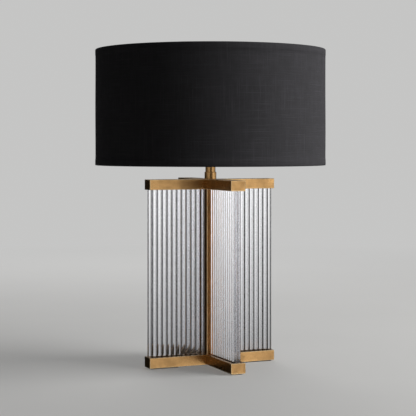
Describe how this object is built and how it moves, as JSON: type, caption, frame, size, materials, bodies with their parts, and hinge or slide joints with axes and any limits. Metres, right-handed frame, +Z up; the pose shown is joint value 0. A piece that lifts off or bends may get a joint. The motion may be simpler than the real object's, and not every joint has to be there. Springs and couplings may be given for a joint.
{
  "type": "table lamp",
  "caption": "Table lamp with fins of clear glass rods between two brass crosses round a square column, and a black drum shade on a harp.",
  "frame": {"origin": "on the lamp's axis at the underside of the felt pads", "axes": "+Z up; the arms of both crosses lie along X and Y; -Y is the front and the cord inlet is in the back arm at +Y"},
  "size_m": [0.4571, 0.4572, 0.632],
  "materials": {
    "antique_brass": "brushed antique brass with a warm brown patina",
    "socket_brass": "satin brass",
    "bright_brass": "bright drawn brass",
    "clear_glass": "clear polished solid glass",
    "zinc_steel": "zinc plated",
    "dark_steel": "blacked steel",
    "black_felt": "wool felt",
    "clear_rubber": "translucent silicone strip",
    "black_plastic": "moulded black plastic",
    "card": "insulating card",
    "frosted_glass": "frosted white glass",
    "bulb_metal": "rolled aluminium",
    "black_linen": "black woven linen",
    "white_liner": "white styrene sheet",
    "white_enamel": "white enamelled wire"
  },
  "bodies": {
    "root": {"base_casing": "antique_brass", "base_end_plates": "antique_brass", "cord_inlet_plate": "antique_brass", "top_casing": "antique_brass", "top_end_plates": "antique_brass", "rod_locating_plate": "antique_brass", "column_tube": "antique_brass", "neck_collar": "antique_brass", "neck_tube": "antique_brass", "socket_cap": "socket_brass", "socket_shell": "socket_brass", "harp": "socket_brass", "screw_shell": "bright_brass", "centre_contact": "bright_brass", "right_fin_inner_rods": "clear_glass", "right_fin_outer_rods": "clear_glass", "back_fin_inner_rods": "clear_glass", "back_fin_outer_rods": "clear_glass", "left_fin_inner_rods": "clear_glass", "left_fin_outer_rods": "clear_glass", "front_fin_inner_rods": "clear_glass", "front_fin_outer_rods": "clear_glass", "base_plate_screws": "zinc_steel", "threaded_pipe": "zinc_steel", "lower_pipe_nut": "zinc_steel", "lower_pipe_washer": "zinc_steel", "upper_pipe_washer": "zinc_steel", "upper_pipe_nut": "zinc_steel", "harp_saddle": "zinc_steel", "terminal_screws": "zinc_steel", "column_locators": "zinc_steel", "base_plate": "dark_steel", "base_ballast": "dark_steel", "felt_pads": "black_felt", "lower_rod_cushions": "clear_rubber", "upper_rod_cushions": "clear_rubber", "cord_bushing": "black_plastic", "socket_insulator": "black_plastic", "insulating_sleeve": "card"},
    "switch_key": {"switch_key": "black_plastic"},
    "left_ferrule": {"left_harp_ferrule": "socket_brass"},
    "right_ferrule": {"right_harp_ferrule": "socket_brass"},
    "bulb": {"bulb_glass": "frosted_glass", "bulb_base": "bulb_metal"},
    "shade": {"shade_fabric": "black_linen", "shade_liner": "white_liner", "shade_trims": "black_linen", "shade_spider": "white_enamel", "shade_upper_ring": "white_enamel", "shade_lower_ring": "white_enamel"},
    "finial": {"finial": "antique_brass"}
  },
  "joints": [
    {"name": "switch_key_turn", "type": "hinge", "parent": "root", "child": "switch_key", "pos_m": [0, -0.0195, 0.4259], "axis": [0, -1, 0], "continuous": true},
    {"name": "left_ferrule_lift", "type": "slide", "parent": "root", "child": "left_ferrule", "axis": [0, 0, 1], "range_m": [0, 0.015]},
    {"name": "right_ferrule_lift", "type": "slide", "parent": "root", "child": "right_ferrule", "axis": [0, 0, 1], "range_m": [0, 0.015]},
    {"name": "bulb_turn", "type": "hinge", "parent": "root", "child": "bulb", "pos_m": [0, 0, 0.45], "axis": [0, 0, 1], "continuous": true},
    {"name": "shade_swivel", "type": "hinge", "parent": "root", "child": "shade", "pos_m": [0, 0, 0.6095], "axis": [0, 0, 1], "continuous": true},
    {"name": "finial_turn", "type": "hinge", "parent": "root", "child": "finial", "pos_m": [0, 0, 0.615], "axis": [0, 0, 1], "continuous": true}
  ]
}
